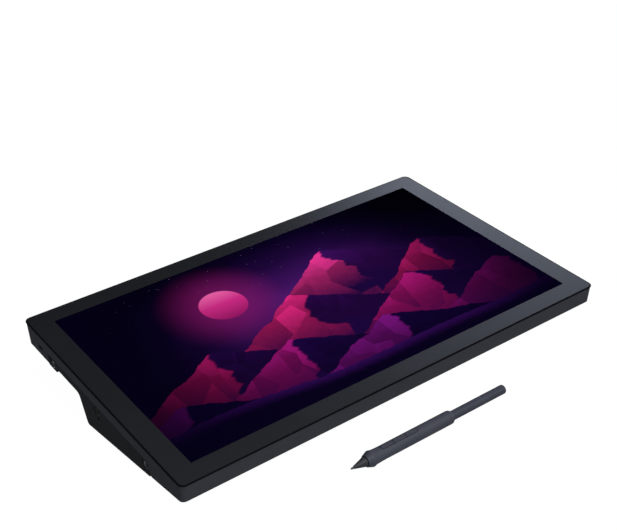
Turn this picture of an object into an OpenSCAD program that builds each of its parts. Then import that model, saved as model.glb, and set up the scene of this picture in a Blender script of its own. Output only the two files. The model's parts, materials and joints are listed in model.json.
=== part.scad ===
// Pen display: a screen slab with an etched cover glass, carried at an incline by a
// wedge-shaped rear housing, and its pressure-sensitive pen lying in front of it.
// Millimetres. The origin is the middle of the rear foot strip's underside on the desk:
// +X runs to the right along the screen, +Y to the rear, +Z up.

/* [Slab] */
// Width of the slab across the screen
slab_w = 420.2; // [416:0.2:436]
// Plan radius of the slab's corners
corner_r = 5; // [4:0.5:9]
// Inward lean of the side walls in degrees
draft = 3; // [1:0.5:4]
// Thickness of the cover glass
glass_t = 0.7; // [0.6:0.1:1]
// Thickness of the gasket under the glass
gap_t = 0.2; // [0.2:0.1:0.5]
// Width of the black rim around the glass
rim_w = 1.1; // [1:0.05:1.5]
// How far the black rim stands out over the walls
rim_over = 0.5; // [0.3:0.05:0.6]

/* [Screen] */
// Width of the liquid crystal cell
cell_w = 388; // [380:1:388]
// Depth of the liquid crystal cell
cell_d = 222; // [216:1:222]

/* [Housing] */
// Depth of the recess below the side band
side_recess = 1.4; // [1:0.1:1.8]
// Height of the foot strips under the base
foot_h = 1; // [0.8:0.1:1.4]
// Wall radius of the side sockets' threads
socket_r = 2.6; // [2.4:0.1:2.8]

/* [Rear keys] */
// Travel of a rear key
key_travel = 0.8; // [0.4:0.1:0.8]
// How far a rear key stands out of the underside
key_proud = 1; // [0.8:0.1:1.4]

/* [Pen] */
// Overall length of the pen
pen_len = 152.8; // [140:0.2:160]
// Radius of the pen's slim tail
pen_tail_r = 3.75; // [3.6:0.05:3.8]
// Left end of the pen on the desk
pen_x = -101.7; // [-120:0.1:-60]
// Distance of the pen in front of the rear foot
pen_y = -201.9; // [-230:0.1:-190]

/* [Hidden] */
$fn = 48;

// colours
c_shell = [0.15, 0.155, 0.17];
c_dark = [0.10, 0.103, 0.11];
c_pen = [0.22, 0.235, 0.27];
c_steel = [0.66, 0.67, 0.69];
c_board = [0.06, 0.22, 0.13];
c_glass = [0.05, 0.05, 0.07];

// ---- slab frame: centre of the glass face, Y to the rear along the face, Z out of it
incline = 11;
slab_d = 249.6;
face_y = -0.35;              // middle of the outline along the face
rim_top = -0.2;              // top of the black rim
stand_y = -28;
stand_z = 43.05 + foot_h;
k = tan(draft);
kp = tan(2.5);              // lean of the recessed wall
z_rim = -glass_t - gap_t;   // top of the slab's wall
z_floor = -12.2;            // lower edge of the side band
z_under = -22.5;            // underside behind the wedge
ca = cos(incline);
sa = sin(incline);
function to_desk(p) = [p[0] * ca - p[1] * sa + stand_y, p[0] * sa + p[1] * ca + stand_z];
function side_x(z) = slab_w / 2 - k * (z_rim - z);          // outer wall at height z
function panel_x(z) = side_x(z_floor) - side_recess - kp * (z_floor - z);   // recessed wall at height z
module slab() { translate([0, stand_y, stand_z]) rotate([incline, 0, 0]) children(); }

// ---- shapes that repeat
function unit(v) = v / norm(v);
// points of a rounded polygon corner at b, between a and c
function corner(a, b, c, r, n = 6) =
  let (u = unit(a - b), v = unit(c - b), h = acos(u * v) / 2, m = unit(u + v),
       o = b + m * (r / sin(h)), p = b + u * (r / tan(h)), q = b + v * (r / tan(h)),
       a0 = atan2(p[1] - o[1], p[0] - o[0]), a1 = atan2(q[1] - o[1], q[0] - o[0]),
       d = ((a1 - a0 + 540) % 360) - 180)
  [for (i = [0:n]) o + r * [cos(a0 + d * i / n), sin(a0 + d * i / n)]];
// solid between x0 and x1 with a Y-Z outline
module along_x(pts, x0, x1) {
  translate([x0, 0, 0]) rotate([90, 0, 90]) linear_extrude(x1 - x0) polygon(pts);
}
// solid between y0 and y1 with an X-Z outline
module along_y(pts, y0, y1) {
  translate([0, y1, 0]) rotate([90, 0, 0]) linear_extrude(y1 - y0) polygon(pts);
}
module box(x0, x1, y0, y1, z0, z1) {
  translate([x0, y0, z0]) cube([x1 - x0, y1 - y0, z1 - z0]);
}
module plate(w, d, z0, z1) { box(-w / 2, w / 2, -d / 2, d / 2, z0, z1); }
// plate with rounded corners
module round_plate(w, d, r, z0, z1) {
  box(-w / 2 + r, w / 2 - r, -d / 2, d / 2, z0, z1);
  box(-w / 2, w / 2, -d / 2 + r, d / 2 - r, z0, z1);
  for (x = [-1, 1], y = [-1, 1])
    translate([x * (w / 2 - r), y * (d / 2 - r), z0]) cylinder(h = z1 - z0, r = r);
}
// block with rounded corners whose four walls lean in towards the bottom
module drafted_block(w, d, r, z0, z1) {
  s = (z1 - z0) * k;
  along_x([[-d / 2, z1], [d / 2, z1], [d / 2 - s, z0], [-d / 2 + s, z0]], -w / 2 + r, w / 2 - r);
  along_y([[-w / 2, z1], [w / 2, z1], [w / 2 - s, z0], [-w / 2 + s, z0]], -d / 2 + r, d / 2 - r);
  for (x = [-1, 1], y = [-1, 1])
    translate([x * (w / 2 - r), y * (d / 2 - r), z0]) cylinder(h = z1 - z0, r1 = r - s, r2 = r);
}
module rod_x(x0, x1, y, z, r) {
  translate([x0, y, z]) rotate([0, 90, 0]) cylinder(h = x1 - x0, r = r);
}
module hex_x(x0, x1, y, z, r) {
  translate([x0, y, z]) rotate([0, 90, 0]) cylinder(h = x1 - x0, r = r, $fn = 6);
}
module rod_y(y0, y1, x, z, r) {
  translate([x, y0, z]) rotate([-90, 0, 0]) cylinder(h = y1 - y0, r = r);
}
module pill(cx, cy, w, d, z0, z1) {
  r = min(w, d) / 2;
  box(cx - w / 2 + (w > d ? r : 0), cx + w / 2 - (w > d ? r : 0),
      cy - d / 2 + (w > d ? 0 : r), cy + d / 2 - (w > d ? 0 : r), z0, z1);
  for (s = [-1, 1])
    translate([cx + (w > d ? s * (w / 2 - r) : 0), cy + (w > d ? 0 : s * (d / 2 - r)), z0])
      cylinder(h = z1 - z0, r = r);
}
// strip of thickness t along a Y-Z path
function strip_side(p, t) = [for (i = [0:len(p) - 1])
  let (a = p[max(i - 1, 0)], b = p[min(i + 1, len(p) - 1)], d = unit(b - a)) p[i] + t * [-d[1], d[0]]];
function strip(p, t) = concat(strip_side(p, t / 2),
  let (q = strip_side(p, -t / 2)) [for (i = [len(q) - 1:-1:0]) q[i]]);

// ---- places
socket_y = [81, 6, -69];
socket_z = -21.5;
key_y = [42.5, 54.5, 66.5, 78.5];
key_x = 174;
screw_x = [-150, -75, 0, 75, 150];
screw_y = 84;
cover_screw = [for (x = [-185, 185], y = [-78, -45, -12]) [x, y]];
vesa_y = -44.5;
fan_x = 95;
fan_y = -35;
board_z = 11;
usb_c_x = [-60, -42];

// ================= display =================
// plate that lies d inside the outline of the black rim
module rim_plate(d, z0, z1) {
  translate([0, face_y, 0]) round_plate(slab_w + 2 * (rim_over - d), slab_d + 2 * (rim_over - d), corner_r + rim_over - d, z0, z1);
}
module cover_glass() color(c_glass) slab() {
  rim_plate(rim_w, -glass_t, 0);
}
// collar around the glass with a foot under its edge
module glass_gasket() color([0.03, 0.03, 0.03]) slab() difference() {
  rim_plate(0, z_rim, rim_top);
  rim_plate(rim_w - 0.05, -glass_t, 5);
  rim_plate(rim_over + 2.3, z_rim - 1, 5);
}
module optical_bond() color([0.8, 0.85, 0.9]) slab() plate(cell_w - 2, cell_d - 3, -glass_t - 0.3, -glass_t);
module lcd_cell() color([0.1, 0.05, 0.2]) slab() plate(cell_w, cell_d, -2.5, -glass_t - 0.3);
module diffuser_sheet() color("white") slab() plate(cell_w - 1, cell_d - 1, -3.1, -2.6);
module light_guide_plate() color([0.85, 0.9, 0.95]) slab()
  box(-cell_w / 2 + 1, cell_w / 2 - 1, -108.4, cell_d / 2 - 1, -5.1, -3.2);
module reflector_sheet() color("white") slab() plate(cell_w - 1, cell_d - 1, -5.5, -5.2);
module led_bar() color([0.95, 0.9, 0.6]) slab() {
  box(-190, 190, -110.8, -110, -5.1, -3.2);
  for (i = [-11:11]) box(i * 16.6 - 1.5, i * 16.6 + 1.5, -110, -108.9, -4.7, -3.6);
}
module backlight_tray() color(c_steel) slab() difference() {
  plate(391, 225, -6.1, -2.6);
  plate(389.4, 223.4, -5.55, 0);
}
module panel_frame() color(c_dark) slab() difference() {
  plate(398, 231, -6.1, -1.7);
  plate(391.4, 225.4, -7, 0);
}
module pen_sensor_board() color(c_board) slab() difference() {
  plate(398, 231, -7.2, -6.15);
  box(-101, -69, -60, -56, -8, 0);
}
module sensor_shield() color(c_steel) slab() difference() {
  plate(398, 231, -7.55, -7.25);
  box(-101, -69, -60, -56, -8, 0);
}
module chassis_plate() color([0.6, 0.61, 0.62]) slab() difference() {
  plate(400, 232, -10.55, -7.6);
  difference() {
    plate(396, 228, -12, -8.8);
    for (y = [-92, -64, 48, 92]) box(-199, 199, y - 1, y + 1, -13, 0);
    for (x = [-165, -110, 110, 165]) box(x - 1, x + 1, -115, 115, -13, 0);
  }
  box(-104, -66, -62.5, -50, -12, 0);
  box(-22, 22, -40, -28, -12, 0);
  for (x = screw_x) translate([x, screw_y, -12]) cylinder(h = 2.9, r = 4);
}

// ================= casing =================
module main_shell() color(c_shell) slab() difference() {
  union() {
    difference() {
      translate([0, face_y, 0]) drafted_block(slab_w, slab_d, corner_r, -26, z_rim);
      // the recess that takes the rear housing, the front taper and the rear underside
      along_x([[-140, -13.29], [-79.88, -24.98], [-77.4, z_floor], [90, z_floor], [90, z_under],
               [140, z_under], [140, -40], [-140, -40]], -230, 230);
      // display bay
      round_plate(slab_w - 5, 245, corner_r - 2.5, -10.6, 5);
      // hollow front and rear ends
      along_x([[-121, -10], [-121, -14.7], [-82, -22.3], [-79.6, -10]], -202, 202);
      box(-204, 204, 92, 121.6, -20.7, -10);
      // way down into the wedge
      box(-150, 150, -66, 36, -13, -10);
    }
    for (x = screw_x) translate([x, screw_y, -11]) cylinder(h = 1.7, r = 3);
    // the side walls run on as far as the rear sockets
    for (s = [0, 1]) mirror([s, 0, 0])
      along_y([[203.6, z_under], [side_x(z_under), z_under], [side_x(z_floor + 0.5), z_floor + 0.5],
               [203.6, z_floor + 0.5]], 86.1, 90.5);
  }
  for (x = screw_x) translate([x, screw_y, -13]) cylinder(h = 6, r = 1.3);
  // power button and touch switch openings in the rear wall
  rod_y(120, 130, 150 - 4, -7, 2.3);
  rod_y(120, 130, 150 + 4, -7, 2.3);
  box(146, 154, 120, 130, -9.3, -4.7);
  rod_y(120, 130, 118 - 2.9, -7, 1.5);
  rod_y(120, 130, 118 + 2.9, -7, 1.5);
  box(118 - 2.9, 118 + 2.9, 120, 130, -8.5, -5.5);
  // lock slot in the left wall
  box(-220, -200, 95.5, 102.5, -15.6, -12.6);
}

housing_outline =
  let (f0 = [-101.62, 17.2], f1 = [-101.62, 4.35], b0 = [-94.5, foot_h], b1 = [8.75, foot_h],
       u0 = to_desk([36.4, z_under]), u1 = to_desk([89.95, z_under]), t1 = to_desk([89.95, z_floor - 0.05]),
       t0 = to_desk([-77.25, z_floor - 0.05]))
  concat([t0, f1], corner(f1, b0, b1, 3, 3), corner(b0, b1, u0, 2.6), corner(b1, u0, u1, 5), [u1, t1]);
housing_cavity =
  concat([to_desk([-74.9, -11])], [[-99, 8], [-93, 5.2], [6.4, 5.2], [9.2, 27]],
         [to_desk([35, -20.5]), to_desk([87.8, -20.5]), to_desk([87.8, -11])]);
boss_outline =
  let (a = [74.6, -14], b = [74.6, -26.6], c = [89.9, -26.6], d = [89.9, -14])
  concat([a], corner(a, b, c, 2), corner(b, c, d, 1.5), [d]);

module rear_housing() color(c_dark) difference() {
  union() {
    difference() {
      intersection() {
        union() {
          along_x(housing_outline, -220, 220);
          slab() for (s = [0, 1]) mirror([s, 0, 0]) along_x(boss_outline, 188, 220);
        }
        slab() along_y([[-panel_x(0), 0], [panel_x(0), 0], [panel_x(-70), -70], [-panel_x(-70), -70]], -130, 130);
      }
      along_x(housing_cavity, -203, 203);
      box(-178, 178, -88, -1, -5, 6);
      box(-192.2, 192.2, -92.2, 5.2, -5, foot_h + 2.05);
    }
    slab() for (s = [0, 1]) mirror([s, 0, 0]) {
      // bosses that hold the side sockets
      for (i = [1, 2]) rod_x(197, 204, socket_y[i], socket_z, 6);
      box(197, 204, 74.6, 87.9, -22, -15);
      // posts for the key board
      for (y = [48.5, 72.5]) translate([key_x, y, -21]) cylinder(h = 2.9, r = 1.2);
    }
    slab() for (x = screw_x) translate([x, screw_y, -21]) cylinder(h = 8.75, r = 3.6);
    for (p = cover_screw) translate([p[0], p[1], 5]) cylinder(h = 3, r = 3.2);
  }
  slab() {
    for (s = [0, 1]) mirror([s, 0, 0]) {
      for (y = socket_y) {
        hex_x(198, 206, y, socket_z, 4.2);
        translate([205.65, y, socket_z]) rotate([0, 90, 0]) cylinder(h = 6, r1 = 4.4, r2 = 4.7);
      }
      rod_x(panel_x(-28) - 2, 230, 5, -28, 1.5);
      // room for the ends of the slab's side walls
      box(203.5, 230, 86, 91, z_under - 0.05, z_floor + 1);
      for (y = key_y) box(key_x - 9.3, key_x + 9.3, y - 4.45, y + 4.45, -30, -19);
    }
    for (x = screw_x) translate([x, screw_y, 0]) {
      translate([0, 0, -30]) cylinder(h = 30, r = 1.4);
      translate([0, 0, -30]) cylinder(h = 9.1, r = 2.9);
    }
  }
  for (p = cover_screw) translate([p[0], p[1], 0]) cylinder(h = 9, r = 1.3);
  // openings for the ports
  for (x = usb_c_x) pill_slot(x, 14.35, 9.6, 3.9, 1.94);
  pill_slot(-85, 15.5, 15.6, 6.2, 0.8);
  pill_slot(-107, 15.4, 9.1, 6, 0.8);
  pill_slot(-130, 15.6, 13.9, 6.5, 0.8);
  // exhaust louvre
  for (i = [0:13]) box(fan_x - 27 + i * 4.1, fan_x - 24.6 + i * 4.1, 4, 20, 6, 16);
}
// rounded slot through the wedge's rear face, seen from behind
module pill_slot(x, z, w, h, r) {
  box(x - w / 2 + r, x + w / 2 - r, 4, 20, z - h / 2, z + h / 2);
  box(x - w / 2, x + w / 2, 4, 20, z - h / 2 + r, z + h / 2 - r);
  for (sx = [-1, 1], sz = [-1, 1]) rod_y(4, 20, x + sx * (w / 2 - r), z + sz * (h / 2 - r), r);
}

module base_cover() color(c_dark) difference() {
  union() {
    box(-192, 192, -92, 5, foot_h, foot_h + 2);
    for (x = [-37.5, 37.5], y = [-37.5, 37.5])
      translate([x, vesa_y + y, foot_h + 1]) cylinder(h = 7, r = 5.5);
  }
  for (x = [-37.5, 37.5], y = [-37.5, 37.5]) translate([x, vesa_y + y, 0]) {
    cylinder(h = 20, r = 2.4);
    translate([0, 0, foot_h + 2]) cylinder(h = 20, r = 3.5);
  }
  for (p = cover_screw) translate([p[0], p[1], 0]) {
    cylinder(h = 9, r = 1.4);
    cylinder(h = foot_h + 1.4, r = 2.7);
  }
  // grooves for the foot strips
  box(-130, 130, -3.5, 3.5, -5, foot_h + 0.6);
  box(-130, 130, -91, -85, -5, foot_h + 0.6);
  // intake slots under the fan, and a matching row on the other side
  for (s = [-1, 1], i = [-6:6], j = [0, 1])
    pill(s * fan_x + i * 4.4, fan_y - 13 + j * 26, 2.2, 22, -5, 10);
}
module foot_strips() color([0.05, 0.05, 0.055]) {
  box(-130, 130, -3.5, 3.5, 0, foot_h + 0.6);
  box(-130, 130, -91, -85, 0, foot_h + 0.6);
}
// six-sided nut with a round flange
module socket_inserts() color(c_steel) slab() for (s = [0, 1], y = socket_y) mirror([s, 0, 0])
  difference() {
    union() {
      hex_x(198, 205.7, y, socket_z, 4.2);
      rod_x(205.65, 207.4, y, socket_z, 4.36);
    }
    rod_x(199.4, 210, y, socket_z, socket_r);
    translate([206.9, y, socket_z]) rotate([0, 90, 0]) cylinder(h = 0.6, r1 = socket_r, r2 = socket_r + 0.6);
  }
module vesa_inserts() color([0.7, 0.6, 0.35]) for (x = [-37.5, 37.5], y = [-37.5, 37.5])
  translate([x, vesa_y + y, foot_h + 2]) difference() {
    cylinder(h = 6, r = 3.5);
    translate([0, 0, -1]) cylinder(h = 8, r = 1.65);
  }
module lock_slot_plate() color(c_steel) slab() difference() {
  box(-204, -202.6, 92.2, 105.8, -19, -10.8);
  box(-210, -200, 95.4, 102.6, -15.7, -12.5);
}
module cover_screws() color(c_steel) for (p = cover_screw) translate([p[0], p[1], 0]) difference() {
  union() {
    translate([0, 0, foot_h + 0.2]) cylinder(h = 1.2, r = 2.5);
    translate([0, 0, foot_h + 1.3]) cylinder(h = 5.7, r = 1.25);
  }
  cylinder(h = foot_h + 0.9, r = 1.1, $fn = 6);
}
module housing_screws() color(c_steel) slab() for (x = screw_x) translate([x, screw_y, 0]) difference() {
  union() {
    translate([0, 0, -22.1]) cylinder(h = 1.2, r = 2.6);
    translate([0, 0, -21]) cylinder(h = 11.4, r = 1.25);
  }
  translate([0, 0, -23]) cylinder(h = 1.7, r = 1.1, $fn = 6);
}

// ================= electronics =================
module main_board() color(c_board) difference() {
  box(-165, 28, -72, 5.6, board_z, board_z + 1.6);
  for (x = [-160, 23], y = [-67, -8]) translate([x, y, 0]) cylinder(h = 30, r = 1.3);
}
module board_standoffs() color([0.7, 0.6, 0.35]) for (x = [-160, 23], y = [-67, -8])
  translate([x, y, foot_h + 2]) {
    cylinder(h = board_z - foot_h - 2, r = 2.6);
    cylinder(h = board_z - foot_h - 2 + 1.4, r = 1.25);
  }
module main_chips() color([0.08, 0.08, 0.09]) {
  box(-36, -14, -44, -22, board_z + 1.6, board_z + 3.4);
  box(-6, 12, -42, -24, board_z + 1.6, board_z + 3.4);
  box(-80, -66, -40, -26, board_z + 1.6, board_z + 2.8);
  box(-120, -106, -44, -30, board_z + 1.6, board_z + 2.8);
  for (i = [0:5]) box(-150 + i * 12, -144 + i * 12, -55.5, -49, board_z + 1.6, board_z + 4.6);
}
module heat_spreader() color([0.75, 0.5, 0.35]) {
  box(-40, 60, -46, -20, board_z + 3.4, board_z + 4.6);
  box(40, 60, -20, 5.6, board_z + 3.4, board_z + 4.6);
}
module heat_sink() color([0.75, 0.75, 0.77]) {
  box(66.5, 123.5, -1, 5.6, 15, 15.9);
  for (i = [0:19]) box(66.5 + i * 2.97, 67.1 + i * 2.97, -1, 5.6, 5.5, 15.5);
  box(60, 70, 1, 5.6, board_z + 3.4, board_z + 4.6);
}
module fan_housing() color(c_dark) translate([fan_x, fan_y, 0]) {
  difference() {
    round_plate(62, 62, 4, 4.4, 15);
    translate([0, 0, 5.4]) cylinder(h = 20, r = 28.6);
    box(-26, 26, 0, 40, 5.4, 30);
    difference() {
      cylinder(h = 10, r = 19);
      for (a = [30, 150, 270]) rotate([0, 0, a]) box(0, 30, -2, 2, 0, 12);
      cylinder(h = 10, r = 7);
    }
    cylinder(h = 30, r = 1.06);
  }
  difference() {
    translate([0, 0, 4.4]) cylinder(h = 7, r = 2.6);
    cylinder(h = 30, r = 1.06);
  }
  for (x = [-27, 27], y = [-27, 27]) translate([x, y, foot_h + 2]) cylinder(h = 2, r = 2.5);
}
module fan_cover() color([0.3, 0.3, 0.31]) translate([fan_x, fan_y, 0]) difference() {
  round_plate(62, 62, 4, 15.05, 15.75);
  cylinder(h = 30, r = 18);
}
module fan_rotor() color([0.2, 0.2, 0.22]) translate([fan_x, fan_y, 0]) {
  difference() {
    translate([0, 0, 6]) cylinder(h = 8.4, r = 13);
    translate([0, 0, 5]) cylinder(h = 8.2, r = 11.8);
  }
  translate([0, 0, 5]) cylinder(h = 8.5, r = 1);
  for (i = [0:22]) rotate([0, 0, i * 360 / 23]) translate([12.6, 0, 0]) rotate([0, 0, 24])
    box(0, 14, -0.35, 0.35, 6.6, 13.6);
}
// metal shell of a socket, open to the rear
module port_shell(x, z, w, h) difference() {
  box(x - w / 2, x + w / 2, -4, 8.9, z - h / 2, z + h / 2);
  box(x - w / 2 + 0.35, x + w / 2 - 0.35, -3.2, 20, z - h / 2 + 0.35, z + h / 2 - 0.35);
}
module usb_c_ports() color(c_steel) for (x = usb_c_x) difference() {
  union() {
    box(x - 2.85, x + 2.85, -2, 8.9, 12.7, 16);
    for (s = [-1, 1]) rod_y(-2, 8.9, x + s * 2.85, 14.35, 1.65);
  }
  box(x - 2.85, x + 2.85, -1.2, 20, 13.05, 15.65);
  for (s = [-1, 1]) rod_y(-1.2, 20, x + s * 2.85, 14.35, 1.3);
}
module hdmi_port() color(c_steel) port_shell(-85, 15.5, 15, 5.6);
module display_port() color(c_steel) port_shell(-107, 15.4, 8.5, 5.4);
module usb_a_port() color(c_steel) port_shell(-130, 15.6, 13.3, 5.9);
module port_tongues() color([0.05, 0.05, 0.05]) {
  for (x = usb_c_x) box(x - 2.4, x + 2.4, -1.2, 6.4, 14.05, 14.65);
  box(-91, -79, -3.2, 6.6, 15.1, 16.3);
  box(-109.4, -104.6, -3.2, 6.6, 14.8, 15.9);
  box(-135.4, -124.6, -3.2, 7.4, 16.2, 18);
}
module key_board(s) color(c_board) slab() mirror([s, 0, 0]) {
  box(key_x - 12, key_x + 12, 38, 85, -18.1, -16.6);
  for (y = key_y) translate([key_x, y, -19.45 + key_travel + 0.05]) cylinder(h = 1.3 - key_travel + 0.1, r = 2);
}
module key_board_left() key_board(1);
module key_board_right() key_board(0);
// rear key: a cap through the underside with a retaining flange inside
module rear_key(s, y) color([0.2, 0.2, 0.22]) slab() mirror([s, 0, 0]) {
  box(key_x - 9, key_x + 9, y - 4.15, y + 4.15, z_under - key_proud, -20);
  box(key_x - 11, key_x + 11, y - 4.15, y + 4.15, -20.4, -19.45);
}
module key_left_1() rear_key(1, key_y[0]);
module key_left_2() rear_key(1, key_y[1]);
module key_left_3() rear_key(1, key_y[2]);
module key_left_4() rear_key(1, key_y[3]);
module key_right_1() rear_key(0, key_y[0]);
module key_right_2() rear_key(0, key_y[1]);
module key_right_3() rear_key(0, key_y[2]);
module key_right_4() rear_key(0, key_y[3]);
module power_button() color([0.2, 0.2, 0.22]) slab() {
  rod_y(121.8, 125.2, 146, -7, 2);
  rod_y(121.8, 125.2, 154, -7, 2);
  box(146, 154, 121.8, 125.2, -9, -5);
  box(142.4, 157.6, 121.3, 122.3, -9.8, -4.2);
}
module touch_switch() color([0.2, 0.2, 0.22]) slab() {
  box(114.1, 118.5, 121.8, 125.4, -8.1, -5.9);
  box(107.5, 125, 121.3, 122.3, -9.4, -4.6);
}
module switch_board() color(c_board) slab() {
  box(102, 162, 117.4, 118.6, -10, -3.6);
  box(147, 153, 118.6, 120.6, -9, -5);
  box(108, 128, 118.6, 121.2, -9, -5);
}
module display_ribbon() color([0.75, 0.55, 0.2]) along_x(strip(
  concat([to_desk([-58, -6.2]), to_desk([-58, -14])], [[-81.8, 17.4], [-80, 15], [-76.5, 13.4], [-72, 12.9], [-66, 12.85], [-58, 12.85]]), 0.3), -99, -71);
module sensor_ribbon() color([0.75, 0.55, 0.2]) along_x(strip(
  concat([to_desk([-34, -7.65]), to_desk([-34, -13])], [[-58.3, 20], [-57.2, 16.4], [-54.6, 13.8], [-51, 12.95], [-47, 12.85]]), 0.3), -9, 9);

// ================= pen =================
// pen frame: Z along the pen from its tip to its tail, -X towards the buttons
pen_dip = 0.67;
pen_yaw = 0.79;
module pen() translate([pen_x, pen_y, 6.55]) rotate([0, pen_dip, pen_yaw]) rotate([8.5, 0, 0]) rotate([0, 90, 0]) children();
grip_r = 5.45;
grip_end = 97;
grip_side = concat([[4.67, 13.4]], corner([4.67, 13.4], [6.42, 18], [5.78, 20.8], 1.9, 8),
  [for (i = [0:10]) [grip_r + 0.33 * pow(1 - i / 10, 2), 20.8 + i * 0.86]], [[grip_r, 94.4]],
  [for (i = [1:6]) [grip_r - 1.5 * (1 - cos(i * 15)), 94.4 + 2.6 * sin(i * 15)]]);
button_z = [27.6, 39.3, 51, 62.7];
module button_window(w, g) {
  translate([-9, 0, 0]) rotate([0, 90, 0]) linear_extrude(7.2) {
    translate([-button_z[3] + w / 2 - g, -w / 2]) square([button_z[3] - button_z[0] - w + 2 * g, w]);
    translate([-button_z[0] - w / 2 + g, 0]) circle(w / 2);
    translate([-button_z[3] + w / 2 - g, 0]) circle(w / 2);
  }
}
module pen_grip() color(c_pen) pen() difference() {
  rotate_extrude() polygon(concat([[3.8, 13.4]], grip_side, [[3.8, grip_end]]));
  button_window(5, 0.3);
}
module pen_barrel() color(c_pen) pen() difference() {
  rotate_extrude() polygon([[3, 24.5], [pen_tail_r, 24.5], [pen_tail_r, pen_len - 1.1], [pen_tail_r - 0.3, pen_len - 0.4],
    [pen_tail_r - 1.1, pen_len], [0, pen_len], [0, pen_len - 1.6], [3, pen_len - 1.6]]);
  button_window(5, 0.3);
}
// nose cone with a groove behind it and a plug into the barrel
module pen_nose() color([0.16, 0.17, 0.19]) pen() rotate_extrude()
  polygon([[0.86, 2.5], [1.1, 2.5], [3.88, 12.85], [3.88, 13], [3.35, 13], [3.35, 13.45], [3.75, 13.45], [3.75, 24.3],
    [2.6, 24.3], [2.6, 14.2], [0.86, 14.2]]);
module pen_nib() color([0.1, 0.1, 0.11]) pen() {
  translate([0, 0, 0.75]) cylinder(h = 25, r = 0.75);
  translate([0, 0, 0.75]) sphere(r = 0.75);
}
module pen_sensor_unit() color([0.75, 0.5, 0.35]) pen() {
  translate([0, 0, 14.4]) difference() {
    cylinder(h = 9.6, r = 2.5);
    translate([0, 0, -1]) cylinder(h = 12, r = 0.9);
  }
  translate([0, 0, 26.4]) cylinder(h = 0.9, r = 2.9);
}
module pen_button(i) color([0.17, 0.18, 0.2]) pen() intersection() {
  translate([0, 0, 22]) cylinder(h = 48, r = grip_r + 0.25);
  button_window(4.2, -0.1);
  translate([-9, -3, button_z[i] + (i == 0 ? -1 : 0.2)]) cube([6.8, 6, button_z[i + 1] - button_z[i] + (i == 1 ? -0.4 : 0.8)]);
}
module pen_button_1() pen_button(0);
module pen_button_2() pen_button(1);
module pen_button_3() pen_button(2);
module pen_board() color(c_board) pen() {
  translate([-1.4, -2.3, 28]) cube([0.9, 4.6, 66]);
  for (i = [0:2]) translate([-1.75, 0, (button_z[i] + button_z[i + 1]) / 2]) rotate([0, 90, 0]) cylinder(h = 0.5, r = 1.4);
}

cover_glass();
glass_gasket();
optical_bond();
lcd_cell();
diffuser_sheet();
light_guide_plate();
reflector_sheet();
led_bar();
backlight_tray();
panel_frame();
pen_sensor_board();
sensor_shield();
chassis_plate();
main_shell();
rear_housing();
base_cover();
foot_strips();
socket_inserts();
vesa_inserts();
lock_slot_plate();
main_board();
main_chips();
board_standoffs();
heat_spreader();
heat_sink();
fan_housing();
fan_cover();
fan_rotor();
usb_c_ports();
hdmi_port();
display_port();
usb_a_port();
port_tongues();
key_left_1();
key_left_2();
key_left_3();
key_left_4();
key_right_1();
key_right_2();
key_right_3();
key_right_4();
key_board_left();
key_board_right();
power_button();
touch_switch();
switch_board();
display_ribbon();
sensor_ribbon();
cover_screws();
housing_screws();
pen_barrel();
pen_grip();
pen_nose();
pen_nib();
pen_button_1();
pen_button_2();
pen_button_3();
pen_board();
pen_sensor_unit();
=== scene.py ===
import json
import math

import bmesh
import bpy
from mathutils import Matrix, Vector


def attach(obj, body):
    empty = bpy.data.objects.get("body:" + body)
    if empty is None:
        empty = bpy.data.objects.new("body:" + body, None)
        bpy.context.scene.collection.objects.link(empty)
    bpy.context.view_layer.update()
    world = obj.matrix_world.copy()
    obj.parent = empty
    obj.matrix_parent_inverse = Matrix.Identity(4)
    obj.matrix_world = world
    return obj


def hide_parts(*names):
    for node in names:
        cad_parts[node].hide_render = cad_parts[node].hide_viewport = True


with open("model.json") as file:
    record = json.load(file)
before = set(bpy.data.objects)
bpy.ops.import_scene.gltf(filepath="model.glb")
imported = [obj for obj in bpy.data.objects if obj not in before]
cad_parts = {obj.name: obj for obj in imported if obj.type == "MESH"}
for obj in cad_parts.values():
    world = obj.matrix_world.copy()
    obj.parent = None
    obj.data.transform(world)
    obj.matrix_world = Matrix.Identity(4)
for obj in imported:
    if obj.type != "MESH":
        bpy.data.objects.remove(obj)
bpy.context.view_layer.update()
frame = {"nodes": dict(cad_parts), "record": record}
nodes = frame["nodes"]
scene = bpy.context.scene
slot_of = {s["node"]: s["material_slot"] for s in frame["record"]["subparts"]}
body_of = {n: b for b, ns in frame["record"]["behaviour"]["bodies"].items() for n in ns}
rad = math.radians

# slab frame: middle of the glass face, Y to the rear along it, Z out of it
SLAB = Matrix.Translation((0, -0.028, 0.04405)) @ Matrix.Rotation(rad(11), 4, "X")
# pen frame: Z from the tip to the tail, -X towards the buttons
PEN = (Matrix.Translation((-0.1017, -0.2019, 0.00655)) @ Matrix.Rotation(rad(0.79), 4, "Z")
       @ Matrix.Rotation(rad(0.67), 4, "Y") @ Matrix.Rotation(rad(8.5), 4, "X") @ Matrix.Rotation(rad(90), 4, "Y"))
DESK = Matrix.Identity(4)


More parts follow.
